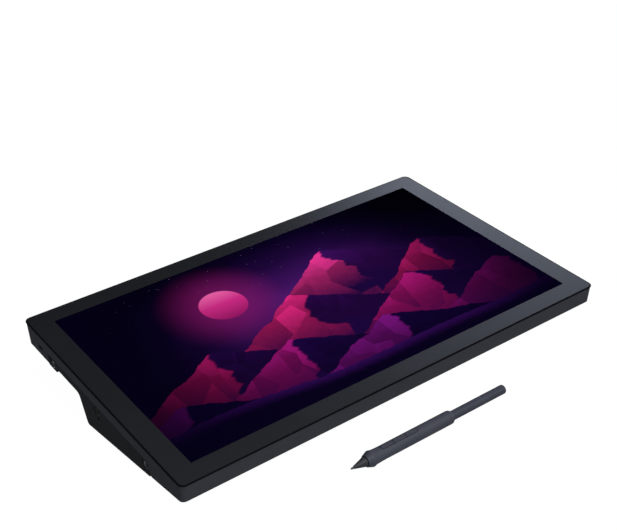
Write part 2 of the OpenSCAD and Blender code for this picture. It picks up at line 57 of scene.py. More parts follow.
# ------------------------------------------------------------------ materials
class Surface:
    """A Principled material, with short calls that add nodes to it."""

    def __init__(self, name, **values):
        self.mat = bpy.data.materials.new(name)
        self.mat.use_nodes = True
        self.tree = self.mat.node_tree
        self.tree.nodes.clear()
        out = self.tree.nodes.new("ShaderNodeOutputMaterial")
        self.bsdf = self.tree.nodes.new("ShaderNodeBsdfPrincipled")
        self.tree.links.new(self.bsdf.outputs[0], out.inputs[0])
        self.co = self.tree.nodes.new("ShaderNodeTexCoord").outputs["Object"]
        for key, value in values.items():
            self.set(key.replace("_", " "), value)

    def set(self, socket, value):
        self.feed(self.bsdf.inputs[socket], value)
        return self

    def feed(self, socket, value):
        if isinstance(value, bpy.types.NodeSocket):
            self.tree.links.new(value, socket)
        elif value is not None:
            if socket.type == "RGBA" and len(value) == 3:
                value = (*value, 1)
            socket.default_value = value

    def node(self, kind, **props):
        n = self.tree.nodes.new("ShaderNode" + kind)
        for key, value in props.items():
            setattr(n, key, value)
        return n

    def math(self, op, a, b=None, c=None, clamp=False):
        n = self.node("Math", operation=op, use_clamp=clamp)
        for i, value in enumerate((a, b, c)):
            self.feed(n.inputs[i], value)
        return n.outputs[0]

    def add(self, a, b):
        return self.math("ADD", a, b)

    def mul(self, a, b):
        return self.math("MULTIPLY", a, b)

    def wave(self, x, k, p, a):
        return self.mul(self.math("SINE", self.math("MULTIPLY_ADD", x, k, p)), a)

    def step(self, x, lo, hi, a=0.0, b=1.0, kind="SMOOTHSTEP"):
        n = self.node("MapRange", interpolation_type=kind)
        for i, value in enumerate((x, lo, hi, a, b)):
            self.feed(n.inputs[i], value)
        return n.outputs[0]

    def line(self, x, lo, hi, a, b):
        return self.step(x, lo, hi, a, b, "LINEAR")

    def move(self, scale=(1, 1, 1), turn=(0, 0, 0), shift=(0, 0, 0), vec=None):
        n = self.node("Mapping")
        self.feed(n.inputs["Vector"], vec or self.co)
        n.inputs["Scale"].default_value = scale
        n.inputs["Rotation"].default_value = turn
        n.inputs["Location"].default_value = shift
        return n.outputs[0]

    def noise(self, scale, detail=2.0, rough=0.5, vec=None, twist=0.0):
        n = self.node("TexNoise")
        self.feed(n.inputs["Vector"], vec or self.co)
        n.inputs["Scale"].default_value = scale
        n.inputs["Detail"].default_value = detail
        n.inputs["Roughness"].default_value = rough
        n.inputs["Distortion"].default_value = twist
        return n.outputs[0]

    def cells(self, scale, feature="F1", vec=None, out="Distance"):
        n = self.node("TexVoronoi", feature=feature)
        self.feed(n.inputs["Vector"], vec or self.co)
        n.inputs["Scale"].default_value = scale
        return n.outputs[out]

    def split(self, vec=None):
        n = self.node("SeparateXYZ")
        self.feed(n.inputs[0], vec or self.co)
        return n.outputs[0], n.outputs[1], n.outputs[2]

    def join(self, x, y, z):
        n = self.node("CombineXYZ")
        for i, value in enumerate((x, y, z)):
            self.feed(n.inputs[i], value)
        return n.outputs[0]

    def ramp(self, fac, *stops):
        n = self.node("ValToRGB")
        self.feed(n.inputs[0], fac)
        e = n.color_ramp.elements
        while len(e) < len(stops):
            e.new(0.5)
        for i, (at, colour) in enumerate(stops):
            e[i].position = at
            e[i].color = (*colour, 1)
        return n.outputs[0]

    def mix(self, fac, a, b, kind="MIX"):
        n = self.node("Mix", data_type="RGBA", blend_type=kind)
        self.feed(n.inputs["Factor"], fac)
        self.feed(n.inputs[6], a)
        self.feed(n.inputs[7], b)
        return n.outputs[2]

    def tint(self, colour, factor):
        n = self.node("VectorMath", operation="SCALE")
        n.inputs[0].default_value = colour
        self.feed(n.inputs["Scale"], factor)
        return n.outputs[0]

    def bump(self, height, strength, depth, under=None):
        n = self.node("Bump")
        n.inputs["Strength"].default_value = strength
        n.inputs["Distance"].default_value = depth
        self.feed(n.inputs["Height"], height)
        self.feed(n.inputs["Normal"], under)
        return n.outputs[0]


def srgb(*c):
    """Display values 0-255 as the linear colour that a shader takes."""
    return tuple(((x / 255 + 0.055) / 1.055) ** 2.4 if x > 10 else x / 255 / 12.92 for x in c)


def moulded(name, colour, grain=2400, rough=(0.5, 0.62), depth=1.2e-5, vary=0.14, spec=0.5, pits=0.0, **more):
    """Painted or moulded plastic: fine grain, broad handling marks and a slight change of tone."""
    s = Surface(name, Specular_IOR_Level=spec, **more)
    broad = s.noise(38, 4, 0.55, twist=0.4)
    fine = s.noise(grain, 2, 0.6)
    tone = s.add(s.mul(broad, 0.55), s.mul(fine, 0.45))
    s.set("Base Color", s.tint(colour, s.line(tone, 0.3, 0.7, 1 - vary, 1 + vary)))
    s.set("Roughness", s.line(s.add(s.mul(broad, 0.7), s.mul(fine, 0.3)), 0.3, 0.7, *rough))
    height = fine
    if pits:
        height = s.add(s.mul(fine, 1 - pits), s.mul(s.cells(grain * 0.55, "SMOOTH_F1"), pits))
    s.set("Normal", s.bump(height, 0.6, depth))
    return s.mat


def metal(name, colour, rough=(0.2, 0.38), stretch=(60, 2600, 2600), turn=(0, 0, 0), vary=0.12, pure=1.0):
    """Drawn, brushed or turned metal: long fine lines and a little stain."""
    s = Surface(name, Metallic=pure)
    lines = s.noise(1, 3, 0.65, s.move(stretch, turn))
    stain = s.noise(90, 3, 0.55)
    tone = s.add(s.mul(lines, 0.6), s.mul(stain, 0.4))
    s.set("Base Color", s.tint(colour, s.line(tone, 0.3, 0.7, 1 - vary, 1 + vary)))
    s.set("Roughness", s.line(tone, 0.3, 0.7, *rough))
    s.set("Normal", s.bump(lines, 0.35, 8e-6))
    return s.mat


def rubber(name, colour, grain=1500, rough=(0.72, 0.86), sheen=0.0, depth=2.2e-5, spec=0.35):
    s = Surface(name, Specular_IOR_Level=spec, Sheen_Weight=sheen, Sheen_Roughness=0.4)
    broad = s.noise(45, 3, 0.5)
    pores = s.cells(grain, "SMOOTH_F1")
    fine = s.noise(grain * 2.3, 2, 0.6)
    s.set("Base Color", s.tint(colour, s.line(s.add(s.mul(broad, 0.6), s.mul(fine, 0.4)), 0.3, 0.7, 0.86, 1.14)))
    s.set("Roughness", s.line(broad, 0.3, 0.7, *rough))
    s.set("Normal", s.bump(s.add(s.mul(pores, 0.6), s.mul(fine, 0.4)), 0.5, depth))
    return s.mat


def board(name, colour):
    """Circuit board: solder mask over a net of tracks, with small bright pads."""
    s = Surface(name, Specular_IOR_Level=0.5)
    warped = s.move((1, 1, 1))
    tracks = s.cells(260, "DISTANCE_TO_EDGE", warped)
    on = s.step(tracks, 0.03, 0.06, 1.0, 0.0)
    pads = s.step(s.cells(420), 0.10, 0.14, 1.0, 0.0)
    base = s.tint(colour, s.line(s.noise(30, 3), 0.3, 0.7, 0.85, 1.15))
    base = s.mix(on, base, tuple(c * 1.9 for c in colour))
    s.set("Base Color", s.mix(pads, base, (0.62, 0.6, 0.52)))
    s.set("Roughness", s.line(on, 0, 1, 0.42, 0.3))
    s.set("Normal", s.bump(s.add(s.mul(on, 0.6), s.mul(pads, 0.5)), 0.5, 3e-5))
    return s.mat


def film(name, colour, rough=(0.25, 0.4)):
    s = Surface(name, Specular_IOR_Level=0.5)
    x, y, z = s.split()
    tracks = s.math("PINGPONG", x, 0.0005)
    lines = s.step(tracks, 0.00018, 0.0003)
    s.set("Base Color", s.mix(lines, s.tint(colour, s.line(s.noise(80, 2), 0.3, 0.7, 0.88, 1.12)), tuple(c * 0.62 for c in colour)))
    s.set("Roughness", s.line(s.noise(300, 2), 0.3, 0.7, *rough))
    s.set("Normal", s.bump(lines, 0.3, 1e-5))
    return s.mat


def etched(name):
    """The cover glass outside the picture: black print under a finely etched face."""
    s = Surface(name, IOR=1.5, Specular_IOR_Level=0.5)
    broad = s.noise(16, 4, 0.5, twist=0.6)
    etch = s.noise(5200, 2, 0.7)
    s.set("Base Color", s.tint((0.0046, 0.0049, 0.0067), s.line(s.add(s.mul(broad, 0.5), s.mul(etch, 0.5)), 0.3, 0.7, 0.9, 1.1)))
    s.set("Roughness", s.line(s.add(s.mul(broad, 0.6), s.mul(etch, 0.4)), 0.3, 0.7, 0.30, 0.35))
    s.set("Normal", s.bump(etch, 0.35, 3e-6))
    return s.mat


def picture(name):
    """The lit picture area: layered hills under a dusk sky, drawn in the slab's own X and Y."""
    s = Surface(name, IOR=1.5, Specular_IOR_Level=0.0)
    x, y, _ = s.split()
    u = s.line(x, -0.191, 0.191, 0, 1)
    v = s.line(y, -0.1079, 0.1071, 0, 1)
    # sky: a purple glow that falls to near-black at the sides and corners
    du = s.mul(s.add(u, -0.55), 1.6)
    dv = s.mul(s.add(v, -0.52), 1.5)
    glow = s.math("SQRT", s.add(s.mul(du, du), s.mul(dv, dv)))
    cloud = s.noise(9, 3, 0.5, s.move((1, 2.2, 1)), 0.5)
    fall = s.step(s.add(glow, s.mul(s.add(cloud, -0.5), 0.22)), 0.0, 0.95, 1.0, 0.0)
    sky = s.ramp(fall, (0.0, srgb(2, 0, 12)), (0.22, srgb(9, 1, 31)), (0.5, srgb(29, 6, 56)), (0.8, srgb(54, 15, 84)), (1.0, srgb(76, 25, 108)))
    # a few faint stars, towards the rear
    star = s.cells(150, "F1")
    sky = s.mix(s.mul(s.step(star, 0.03, 0.07, 1.0, 0.0), s.step(v, 0.62, 0.95, 0.0, 0.4)), sky, srgb(190, 150, 220))
    # a low moon with a soft rim
    mu = s.mul(s.add(u, -0.33), 1.7767)
    mv = s.add(v, -0.70)
    moon = s.math("SQRT", s.add(s.mul(mu, mu), s.mul(mv, mv)))
    halo = s.step(moon, 0.08, 0.30, 0.26, 0.0)
    sky = s.mix(halo, sky, srgb(176, 34, 128))
    disc = s.ramp(s.line(mv, -0.1, 0.1, 0, 1), (0.0, srgb(140, 20, 92)), (0.55, srgb(198, 42, 128)), (1.0, srgb(228, 96, 164)))
    sky = s.mix(s.step(moon, 0.096, 0.101, 1.0, 0.0), sky, disc)
    # peaks from the far ones to the near ones: place, height, fall to the left and right, lit and shaded colour
    peaks = [
        (0.640, 0.80, 1.16, 1.24, srgb(226, 52, 142), srgb(54, 12, 84)),
        (0.865, 0.63, 1.10, 1.30, srgb(196, 30, 112), srgb(44, 9, 74)),
        (0.470, 0.60, 1.02, 1.20, srgb(214, 38, 122), srgb(42, 8, 72)),
        (0.215, 0.47, 0.92, 1.12, srgb(186, 26, 108), srgb(34, 6, 64)),
        (0.745, 0.46, 1.04, 1.16, srgb(176, 24, 118), srgb(32, 6, 66)),
        (0.370, 0.36, 0.86, 0.98, srgb(150, 20, 112), srgb(24, 4, 56)),
        (0.960, 0.34, 0.84, 1.10, srgb(132, 18, 112), srgb(22, 3, 54)),
        (0.590, 0.27, 0.72, 0.84, srgb(112, 18, 116), srgb(16, 2, 46)),
        (0.060, 0.26, 0.80, 0.74, srgb(96, 14, 104), srgb(14, 2, 42)),
    ]
    mist = srgb(26, 5, 56)
    rock = s.split(s.cells(42, "F1", s.move((1.0, 0.55, 0.0), (0, 0, 0.45)), "Color"))[0]
    grain = s.noise(150, 4, 0.6)
    colour = sky
    for i, (at, h, fall_l, fall_r, light, shade) in enumerate(peaks):
        along = s.add(u, -at)
        top = s.math("MINIMUM", s.math("MULTIPLY_ADD", along, fall_l, h), s.math("MULTIPLY_ADD", along, -fall_r, h))
        top = s.add(top, s.mul(s.add(s.noise(40, 4, 0.6, s.join(x, 0.37 * i, 0.0)), -0.5), 0.07))
        under = s.math("SUBTRACT", top, v)
        # the crest line that runs down from the summit, with the lit face on its left
        wander = s.mul(s.add(s.noise(30, 3, 0.6, s.join(y, 0.53 * i, 0.4)), -0.5), 0.16)
        side = s.add(s.add(along, wander), s.mul(s.math("SUBTRACT", h, v), 0.10 if i % 2 else -0.08))
        deep = s.add(s.line(v, h, h - 0.36, 0.0, 1.0), s.mul(s.add(s.add(rock, s.mul(grain, 0.6)), -0.8), 0.34))
        lit = s.ramp(deep, (0.0, light), (0.45, tuple(c * 0.36 for c in light)), (1.0, mist))
        dim = s.ramp(deep, (0.0, shade), (0.5, tuple(c * 0.5 for c in shade)), (1.0, mist))
        body = s.mix(s.step(side, -0.004, 0.006), lit, dim)
        colour = s.mix(s.step(under, 0.0, 0.004), colour, body)
    # low dark ground along the front
    ground = s.add(s.add(s.wave(u, 4.6, 1.3, 0.03), s.wave(u, 11.4, 0.2, 0.012)), 0.10)
    ground = s.math("SUBTRACT", s.add(ground, s.mul(grain, 0.02)), v)
    colour = s.mix(s.step(ground, 0.0, 0.005), colour, s.mix(s.step(ground, 0.0, 0.06), srgb(40, 8, 70), srgb(6, 1, 26)))
    # the picture darkens towards its left and right ends
    ends = s.mul(s.step(u, -0.02, 0.36), s.step(u, 1.02, 0.64))
    colour = s.mix(ends, s.mix(0.9, colour, srgb(3, 0, 20)), colour)
    cu, cv = s.mul(s.add(u, -1.0), 1.5), s.add(v, -1.0)
    corner = s.math("SQRT", s.add(s.mul(cu, cu), s.mul(cv, cv)))
    colour = s.mix(s.step(corner, 0.0, 0.62, 0.96, 0.0), colour, srgb(0, 0, 2))
    s.set("Base Color", (0.0004, 0.0004, 0.0005))
    s.set("Roughness", s.line(s.noise(5200, 2, 0.7), 0.3, 0.7, 0.40, 0.46))
    s.set("Emission Color", colour)
    s.set("Emission Strength", 1.0)
    return s.mat


record_colour = {m["slot"]: m["base_color"][:3] for m in frame["record"]["materials"]}
col = record_colour
M = {
    "etched_glass": etched("etched_glass"),
    "picture": picture("lit_picture"),
    "gasket_black": rubber("gasket_black", (0.0014, 0.0016, 0.0027), 3000, (0.8, 0.9), 0.0, 1.2e-5, 0.055),
    "glass_edge": moulded("glass_edge", (0.0022, 0.0023, 0.0030), 4200, (0.42, 0.55), 0.6e-5, 0.14, 0.10),
    "shell_matte": moulded("shell_matte", (0.0222, 0.0242, 0.0320), 2600, (0.46, 0.56), 1.0e-5, 0.12, 0.42),
    "housing_matte": moulded("housing_matte", (0.0086, 0.0092, 0.0116), 1500, (0.58, 0.70), 3.0e-5, 0.16, 0.36, 0.6),
    "foot_rubber": rubber("foot_rubber", (0.010, 0.010, 0.011), 1100),
    "key_plastic": moulded("key_plastic", (0.024, 0.025, 0.029), 2200, (0.40, 0.52), 1.4e-5),
    "pen_matte": moulded("pen_matte", (0.0268, 0.0300, 0.0425), 3000, (0.50, 0.60), 0.25e-5, 0.10, 0.22),
    "pen_rubber": rubber("pen_rubber", (0.0285, 0.0312, 0.0450), 2600, (0.56, 0.68), 0.03, 0.35e-5, 0.28),
    "pen_nose_plastic": moulded("pen_nose_plastic", (0.0160, 0.0178, 0.0225), 3200, (0.52, 0.62), 0.35e-5, 0.12, 0.25),
    "pen_nib_plastic": moulded("pen_nib_plastic", (0.018, 0.018, 0.020), 5200, (0.5, 0.62), 0.8e-5),
    "pen_button_plastic": moulded("pen_button_plastic", (0.0268, 0.0300, 0.0400), 3200, (0.44, 0.54), 0.3e-5, 0.12, 0.35),
    "socket_steel": metal("socket_steel", (0.34, 0.345, 0.36), (0.3, 0.42), (2600, 220, 220), pure=0.35),
    # darker copy of socket_steel for the middle socket's bore: painted shade
    "socket_painted_dim": metal("socket_painted_dim", (0.125, 0.126, 0.13), (0.34, 0.5), (2600, 220, 220), pure=0.5),
    "socket_black": metal("socket_black", (0.011, 0.0115, 0.0135), (0.45, 0.6), (700, 700, 700), pure=0.2),
    "port_steel": metal("port_steel", (0.58, 0.59, 0.61), (0.24, 0.38), (1800, 90, 1800)),
    "port_plastic": moulded("port_plastic", (0.014, 0.014, 0.015), 2600, (0.45, 0.6)),
    "contact_gold": metal("contact_gold", (0.72, 0.52, 0.20), (0.2, 0.32), (1500, 80, 1500)),
    "screw_steel": metal("screw_steel", (0.10, 0.10, 0.105), (0.3, 0.46), (900, 900, 300)),
    "insert_brass": metal("insert_brass", (0.60, 0.45, 0.20), (0.22, 0.36), (300, 300, 2600)),
    "sheet_steel": metal("sheet_steel", (0.52, 0.53, 0.55), (0.3, 0.45), (120, 1600, 1600)),
    "fan_steel": metal("fan_steel", (0.38, 0.38, 0.40), (0.3, 0.45), (120, 1600, 1600)),
    "cast_alloy": metal("cast_alloy", (0.48, 0.49, 0.50), (0.42, 0.6), (700, 700, 700)),
    "fin_alloy": metal("fin_alloy", (0.66, 0.66, 0.68), (0.28, 0.42), (1500, 120, 1500)),
    "copper": metal("copper", (0.60, 0.31, 0.17), (0.26, 0.42), (90, 1600, 1600)),
    "board_green": board("board_green", (0.014, 0.075, 0.036)),
    "ribbon_film": film("ribbon_film", (0.46, 0.26, 0.06)),
    "chip_black": moulded("chip_black", (0.014, 0.014, 0.016), 1800, (0.5, 0.65), 2.0e-5),
    "fan_plastic": moulded("fan_plastic", (0.026, 0.026, 0.030), 2200, (0.42, 0.56), 1.4e-5),
    "frame_plastic": moulded("frame_plastic", (0.022, 0.022, 0.024), 1800, (0.5, 0.66), 2.0e-5),
    "film_white": moulded("film_white", (0.80, 0.80, 0.80), 1400, (0.4, 0.55), 0.8e-5, 0.04),
    "acrylic_clear": moulded("acrylic_clear", (0.72, 0.76, 0.78), 900, (0.10, 0.18), 0.5e-5, 0.04),
    "optical_clear": moulded("optical_clear", (0.70, 0.73, 0.75), 900, (0.08, 0.16), 0.5e-5, 0.04),
    "panel_glass": moulded("panel_glass", (0.016, 0.010, 0.030), 1200, (0.12, 0.2), 0.4e-5, 0.08),
    "led_strip": moulded("led_strip", (0.78, 0.72, 0.42), 900, (0.35, 0.5), 1.2e-5, 0.10),
}
for n, o in nodes.items():
    o.material_slots[0].material = M[slot_of[n]]


# ------------------------------------------------------------------ pieces
def piece(name, mesh, place, body, slot, *replaced, mats=None):
    ob = bpy.data.objects.new(name, mesh)
    scene.collection.objects.link(ob)
    ob.matrix_world = place
    for m in mats or [M[slot]]:
        mesh.materials.append(m)
    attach(ob, body)
    if replaced:
        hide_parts(*replaced)
    return ob


def settle(ob, smooth=38):
    """Smooth shading that keeps the real edges, with flat faces kept flat."""
    me = ob.data
    me.polygons.foreach_set("use_smooth", [True] * len(me.polygons))
    me.set_sharp_from_angle(angle=rad(smooth))
    mod = ob.modifiers.new("normals", "WEIGHTED_NORMAL")
    mod.keep_sharp = True
    return ob


def plain_copy(node, tidy=0.3):
    """A CAD node's surface as a clean mesh: welded, and with its flat faces joined up unless tidy is 0."""
    bm = bmesh.new()
    bm.from_mesh(nodes[node].data)
    bmesh.ops.remove_doubles(bm, verts=bm.verts[:], dist=4e-7)
    if tidy:
        bmesh.ops.dissolve_limit(bm, angle_limit=rad(tidy), verts=bm.verts[:], edges=bm.edges[:], use_dissolve_boundaries=False)
    bm.verts.index_update()
    me = bpy.data.meshes.new(node + "_shape")
    me.from_pydata([v.co[:] for v in bm.verts], [], [[v.index for v in f.verts] for f in bm.faces])
    bm.free()
    return me


def eased(node, width=0.00025, segments=2, angle=28, tidy=0.3, smooth=38):
    """The CAD node with its sharp edges eased, in place of the node."""
    me = plain_copy(node, tidy)
    ob = piece(node + "_shape", me, DESK, body_of[node], slot_of[node], node)
    if not width:
        return settle(ob, smooth)
    mod = ob.modifiers.new("edges", "BEVEL")
    mod.segments = segments
    mod.limit_method, mod.angle_limit, mod.width = "ANGLE", rad(angle), width
    mod.use_clamp_overlap = True
    mod.miter_outer = "MITER_ARC"
    return settle(ob, smooth)


class Shell:
    """Collects closed shells, in millimetres, into one mesh."""

    def __init__(self):
        self.verts, self.faces = [], []

    def rings(self, rings, round_trip=False):
        """Rings of equal length, joined one to the next and closed at both ends (or into a loop)."""
        base, n = len(self.verts), len(rings[0])
        for ring in rings:
            self.verts += [tuple(c / 1000 for c in v) for v in ring]
        last = len(rings) if round_trip else len(rings) - 1
        for j in range(last):
            a, b = base + j * n, base + (j + 1) % len(rings) * n
            for i in range(n):
                self.faces.append((a + i, a + (i + 1) % n, b + (i + 1) % n, b + i))
        if not round_trip:
            self.faces.append(tuple(base + i for i in range(n))[::-1])
            self.faces.append(tuple(base + (len(rings) - 1) * n + i for i in range(n)))

    def block(self, x0, x1, y0, y1, z0, z1, ease=0.05):
        """Block with its upright edges and its top and bottom edges cut back."""
        e = min(ease, (x1 - x0) / 3, (y1 - y0) / 3, (z1 - z0) / 3)
        rings = []
        for z, d in ((z0, e), (z0 + e, 0), (z1 - e, 0), (z1, e)):
            xa, xb, ya, yb = x0 + d, x1 - d, y0 + d, y1 - d
            rings.append([(xa + e, ya, z), (xb - e, ya, z), (xb, ya + e, z), (xb, yb - e, z), (xb - e, yb, z), (xa + e, yb, z), (xa, yb - e, z), (xa, ya + e, z)])
        self.rings(rings)

    def mesh(self, name):
        bm = bmesh.new()
        vs = [bm.verts.new(v) for v in self.verts]
        for f in self.faces:
            bm.faces.new([vs[i] for i in f])
        bmesh.ops.recalc_face_normals(bm, faces=bm.faces[:])
        me = bpy.data.meshes.new(name)
        bm.to_mesh(me)
        bm.free()
        return me


# ------------------------------------------------------------------ cover glass
def rounded(w, d, r, n=14):
    """Outline of a rectangle with rounded corners, anticlockwise from above."""
    pts = []
    for cx, cy, a0 in ((w / 2 - r, d / 2 - r, 0), (-w / 2 + r, d / 2 - r, 90), (-w / 2 + r, -d / 2 + r, 180), (w / 2 - r, -d / 2 + r, 270)):
        pts += [(cx + r * math.cos(rad(a0 + 90 * i / n)), cy + r * math.sin(rad(a0 + 90 * i / n))) for i in range(n + 1)]
    return pts


def make_glass():
    bm = bmesh.new()
    rings = []
    for inset, z in ((0.16, 0.0), (0.07, -0.025), (0.0, -0.10), (0.0, -0.65), (0.05, -0.7)):
        pts = rounded(0.4190 - 0.002 * inset, 0.2484 - 0.002 * inset, 0.0044 - 0.001 * inset)
        rings.append([bm.verts.new((x, y - 0.00035, z / 1000)) for x, y in pts])
    n = len(rings[0])
    for a, b in zip(rings, rings[1:]):
        for i in range(n):
            bm.faces.new((a[i], b[i], b[(i + 1) % n], a[(i + 1) % n])).material_index = 2
    bm.faces.new(rings[-1][::-1]).material_index = 2
    # face: the printed border around the picture area
    win = [bm.verts.new((x, y, 0)) for x, y in ((0.191, 0.1071), (-0.191, 0.1071), (-0.191, -0.1079), (0.191, -0.1079))]
    edges = [bm.edges.get((rings[0][i], rings[0][(i + 1) % n])) for i in range(n)]
    edges += [bm.edges.new((win[i], win[(i + 1) % 4])) for i in range(4)]
    bmesh.ops.triangle_fill(bm, edges=edges, use_beauty=True, use_dissolve=False, normal=(0, 0, 1))
    lit = bm.faces.get(win) or bm.faces.new(win)
    lit.material_index = 1
    for f in bm.faces:
        if f is not lit and all(abs(v.co.x) <= 0.19101 and -0.10791 <= v.co.y <= 0.10711 and v.co.z > -1e-6 for v in f.verts):
            f.material_index = 1
    bmesh.ops.recalc_face_normals(bm, faces=bm.faces[:])
    me = bpy.data.meshes.new("cover_glass_sheet")
    bm.to_mesh(me)
    bm.free()
    return settle(piece("cover_glass_sheet", me, SLAB, "tablet", "etched_glass", "cover_glass", mats=[M["etched_glass"], M["picture"], M["glass_edge"]]))


make_glass()

# ------------------------------------------------------------------ casing
eased("glass_gasket", 0.00012, 2)
for n in ("main_shell", "rear_housing"):
    eased(n, 0.0, tidy=0)
eased("base_cover", 0.00022, 2)
for n in ("cover_screws", "housing_screws", "vesa_inserts"):
    eased(n, 0.00015, 2)
for n in ("usb_c_ports", "hdmi_port", "display_port", "usb_a_port"):
    eased(n, 0.00011, 2)
eased("port_tongues", 0.0001, 2)
eased("power_button", 0.00035, 3)
eased("lock_slot_plate", 0.0002, 2)


def make_feet():
    """Rubber strips with rounded sides and four shallow grooves along the tread."""
    sh = Shell()
    for y0, y1 in ((-3.5, 3.5), (-91.0, -85.0)):
        w = y1 - y0
        side = [(0.0, 1.6), (0.0, 0.55), (0.06, 0.3), (0.2, 0.11), (0.42, 0.0)]
        prof = [(y0 + a, z) for a, z in side]
        land = (w - 0.84 - 4 * 0.7) / 5
        y = y0 + 0.42
        for i in range(4):
            y += land
            prof += [(y, 0.0), (y + 0.12, 0.22), (y + 0.28, 0.3), (y + 0.42, 0.3), (y + 0.58, 0.22), (y + 0.7, 0.0)]
            y += 0.7
        prof += [(y1 - a, z) for a, z in side[::-1]]
        rings = []
        for x, lift in ((-130.0, 0.62), (-129.9, 0.34), (-129.7, 0.13), (-129.4, 0.0), (129.4, 0.0), (129.7, 0.13), (129.9, 0.34), (130.0, 0.62)):
            rings.append([(x, yy, max(z, lift)) for yy, z in prof])
        sh.rings(rings)
    settle(piece("foot_strips_ribbed", sh.mesh("foot_strips_ribbed"), DESK, "tablet", "foot_rubber", "foot_strips"))


def make_sockets():
    """Six-sided inserts with a turned flange and a cut thread, 1.27 mm a turn."""
    sh = Shell()
    n = 60
    for sign in (-1, 1):
        for cy in (81.0, 6.0, -69.0):
            def ring(at, radius):
                pts = []
                for i in range(n):
                    a = 2 * math.pi * i / n
                    r = radius(a) if callable(radius) else radius
                    pts.append((sign * at, cy + r * math.cos(a), -21.5 + r * math.sin(a)))
                return pts

            def thread(at):
                def r(a):
                    turn = (at / 1.27 + a / (2 * math.pi)) % 1.0
                    cut = min(1.0, max(0.0, (0.5 - abs(turn - 0.5)) * 2.6 - 0.25))
                    return 2.6 + 0.42 * cut * min(1.0, (at - 199.5) / 0.6, (206.9 - at) / 0.3)
                return r

            def hexagon(a):
                return 3.62 / math.cos((a % (math.pi / 3)) - math.pi / 6)

            rings = [ring(199.42, 0.3), ring(199.42, 2.55)]
            rings += [ring(199.5 + 7.36 * i / 60, thread(199.5 + 7.36 * i / 60)) for i in range(61)]
            rings += [ring(206.9, 2.61), ring(207.14, 2.85), ring(207.33, 3.04), ring(207.385, 3.1), ring(207.4, 3.17), ring(207.4, 3.5), ring(207.35, 3.56), ring(207.35, 3.7), ring(207.4, 3.76),
                      ring(207.4, 4.12), ring(207.36, 4.24), ring(207.26, 4.33), ring(207.12, 4.355), ring(205.68, 4.355), ring(205.66, 4.25), ring(205.64, hexagon), ring(198.06, hexagon), ring(198.02, 3.4)]
            sh.rings(rings)
    me = sh.mesh("socket_inserts_threaded")
    for f in me.polygons:
        x, y, z = (c * 1000 for c in f.center)
        cy = min((81.0, 6.0, -69.0), key=lambda c: abs(y - c))
        # bright steel at the mouth of the bore and in the thread grooves; black on the flange, the hexagon body and the
        # thread crests further in, where the black crests are painted shade deep in the bore; the middle socket's steel
        # is a darker copy of the same steel, painted shade
        r = math.hypot(y - cy, z + 21.5)
        steel_face = r < 2.8 or r < 3.06 and 204.3 < abs(x) < 206.9
        f.material_index = 1 if not steel_face else 2 if cy == 6.0 else 0
    settle(piece("socket_inserts_threaded", me, SLAB, "tablet", "socket_steel", "socket_inserts",
                 mats=[M["socket_steel"], M["socket_black"], M["socket_painted_dim"]]), 50)


def make_key(node, sign, cy, bar):
    """Key cap with rounded corners and a shallow dish, on its retaining flange."""
    def ring(w, d, r, z):
        return [(sign * 174.0 + x * 1000, cy + y * 1000, z) for x, y in rounded(w / 1000, d / 1000, r / 1000, 8)]

    sh = Shell()
    sh.rings([ring(22.0, 8.3, 0.5, -19.45), ring(22.0, 8.3, 0.5, -20.3), ring(21.8, 8.1, 0.4, -20.4)])
    sh.rings([ring(17.6, 7.9, 1.2, -20.2), ring(18.0, 8.3, 1.4, -20.5), ring(18.0, 8.3, 1.4, -22.9), ring(17.94, 8.24, 1.37, -23.14), ring(17.76, 8.06, 1.3, -23.34), ring(17.46, 7.76, 1.2, -23.46),
              ring(17.06, 7.36, 1.1, -23.5), ring(16.2, 6.5, 1.0, -23.47), ring(14.9, 5.2, 0.9, -23.38), ring(13.3, 3.6, 0.8, -23.31), ring(11.4, 1.7, 0.6, -23.28)])
    if bar:
        sh.rings([ring(5.4, 0.9, 0.44, -23.2), ring(5.4, 0.9, 0.44, -23.38), ring(5.3, 0.8, 0.39, -23.46), ring(5.1, 0.6, 0.29, -23.49)])
    settle(piece(node + "_cap", sh.mesh(node + "_cap"), SLAB, body_of[node], "key_plastic", node))


def make_slide():
    """Slide switch knob with cross ridges, on its hidden plate."""
    sh = Shell()
    sh.block(107.5, 125.0, 121.3, 122.3, -9.4, -4.6, 0.15)
    prof = [(114.1, 121.8), (114.1, 125.1), (114.25, 125.3), (114.5, 125.4)]
    x = 114.5
    for i in range(5):
        prof += [(x + 0.18, 125.4), (x + 0.32, 125.08), (x + 0.50, 125.08), (x + 0.64, 125.4)]
        x += 0.72
    prof += [(118.1, 125.4), (118.35, 125.3), (118.5, 125.1), (118.5, 121.8)]
    rings = []
    for z, back in ((-8.1, 0.45), (-8.02, 0.2), (-7.86, 0.06), (-7.6, 0.0), (-6.4, 0.0), (-6.14, 0.06), (-5.98, 0.2), (-5.9, 0.45)):
        rings.append([(px, min(py, 125.4 - back), z) for px, py in prof])
    sh.rings(rings)
    settle(piece("touch_switch_knob", sh.mesh("touch_switch_knob"), SLAB, "touch_switch", "key_plastic", "touch_switch"))


